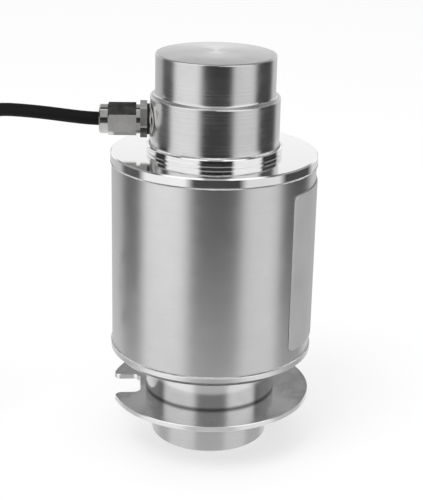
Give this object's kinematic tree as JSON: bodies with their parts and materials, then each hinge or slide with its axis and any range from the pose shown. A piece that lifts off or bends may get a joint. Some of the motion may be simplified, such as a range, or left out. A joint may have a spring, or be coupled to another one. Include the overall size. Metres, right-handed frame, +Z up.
{
  "type": "column load cell",
  "caption": "Column load cell of stainless steel: crowned head and foot, round welded housing, a slotted anti-rotation disc, and a side gland with its black cable.",
  "frame": {"origin": "centre of the flat land under the foot", "axes": "+Z up along the column, from foot to head; the cable leaves towards -X"},
  "size_m": [0.2715, 0.1146, 0.15],
  "materials": {
    "turned_steel": "fine turned stainless steel",
    "polished_steel": "polished stainless steel",
    "brushed_steel": "round brushed stainless steel",
    "sheet_steel": "rolled stainless sheet",
    "spring_steel": "phosphated spring steel",
    "plate_foil": "matt anodised plate",
    "nickel_brass": "nickel plated brass",
    "seal_rubber": "soft black rubber",
    "cable_sheath": "smooth black sheath",
    "black_nylon": "moulded nylon",
    "shrink_sleeve": "shrunk sleeve",
    "core_insulation": "coloured core insulation",
    "washer_nylon": "natural nylon",
    "circuit_board": "green solder mask",
    "brass": "turned brass",
    "tinned_metal": "tinned",
    "resistor_body": "moulded resistor body",
    "gauge_foil": "amber film with metal foil",
    "silicone": "grey silicone coat"
  },
  "bodies": {
    "root": {"load_column": "turned_steel", "upper_cover": "polished_steel", "lower_cover": "polished_steel", "housing_tube": "brushed_steel", "nameplate": "plate_foil", "anti_rotation_disc": "sheet_steel", "retaining_ring": "spring_steel", "locking_pin": "turned_steel", "gland_boss": "turned_steel", "gland_seal_ring": "seal_rubber", "gland_body": "nickel_brass", "gland_grommet": "seal_rubber", "gland_clamp_washer": "washer_nylon", "gland_cap_nut": "nickel_brass", "cable": "cable_sheath", "cable_coil": "cable_sheath", "cable_tail": "cable_sheath", "cable_ties": "black_nylon", "cable_end_sleeve": "shrink_sleeve", "bare_core_ends": "core_insulation", "cable_cores": "core_insulation", "terminal_board": "circuit_board", "board_standoffs": "brass", "board_screws": "tinned_metal", "board_terminals": "tinned_metal", "trim_resistors": "resistor_body", "strain_gauges": "gauge_foil", "gauge_tabs": "brass", "gauge_coatings": "silicone", "gauge_wires": "core_insulation"}
  },
  "joints": []
}
